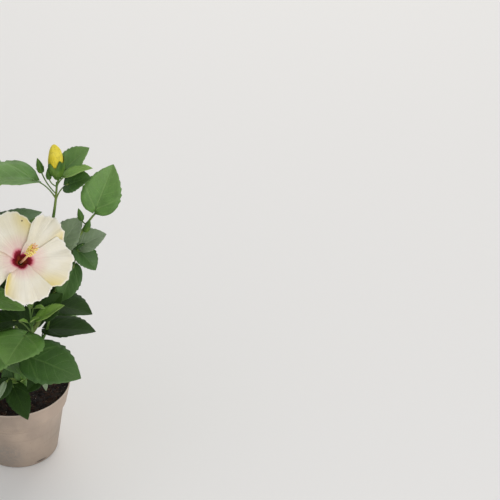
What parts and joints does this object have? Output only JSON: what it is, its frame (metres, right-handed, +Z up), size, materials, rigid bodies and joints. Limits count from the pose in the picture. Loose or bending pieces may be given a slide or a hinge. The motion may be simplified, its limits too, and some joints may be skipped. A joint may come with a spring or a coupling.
{
  "type": "potted hibiscus shrub",
  "caption": "Young bushy hibiscus in a tapered plastic nursery pot, with folded glossy leaves on upright shoots, slim buds and one wide open cream flower facing forward and up.",
  "frame": {"origin": "middle of the pot's flat underside", "axes": "+Z up along the trunk, -Y the front that the open flower faces, +X the plant's right as seen from the front"},
  "size_m": [0.243, 0.2173, 0.4133],
  "materials": {
    "pot": "taupe recycled plastic, dull, slightly mottled, faint dirt lines",
    "soil": "moist dark brown peat with reddish fibres and a few white grains; wood stands in for it",
    "bark": "young green-brown bark with pale pores, dull",
    "twig": "soft green stems and leaf stalks, slightly glossy; fabric stands in for them",
    "leaf": "glossy mid to dark green leaf with paler veins; fabric stands in for it",
    "bud": "green calyx and yellow rolled petals, satin; fabric stands in for them",
    "petal": "cream petals with fine ribs, pale yellow edges and a dark crimson eye; fabric stands in for them",
    "stamen": "peach column with yellow anthers; fabric stands in for them"
  },
  "bodies": {
    "root": {"pot": "pot", "soil": "soil", "trunk": "bark", "bough_top": "bark", "bough_top_left": "bark", "bough_right": "bark", "bough_left": "bark", "bough_front": "bark", "bough_near": "bark", "bough_front_left": "bark", "bough_back": "bark", "bough_back_right": "bark", "bough_back_left": "bark", "bough_low_right": "bark", "bough_low_left": "bark", "bough_low_back": "bark", "bough_low_front_left": "bark", "bough_foot": "bark", "leaves_top": "leaf", "leaves_top_left": "leaf", "leaves_right": "leaf", "leaves_left": "leaf", "leaves_front": "leaf", "leaves_near": "leaf", "leaves_front_left": "leaf", "leaves_back": "leaf", "leaves_back_right": "leaf", "leaves_back_left": "leaf", "leaves_low_right": "leaf", "leaves_low_left": "leaf", "leaves_low_back": "leaf", "leaves_low_front_left": "leaf", "leaves_foot": "leaf", "bloom": "petal"}
  },
  "joints": []
}
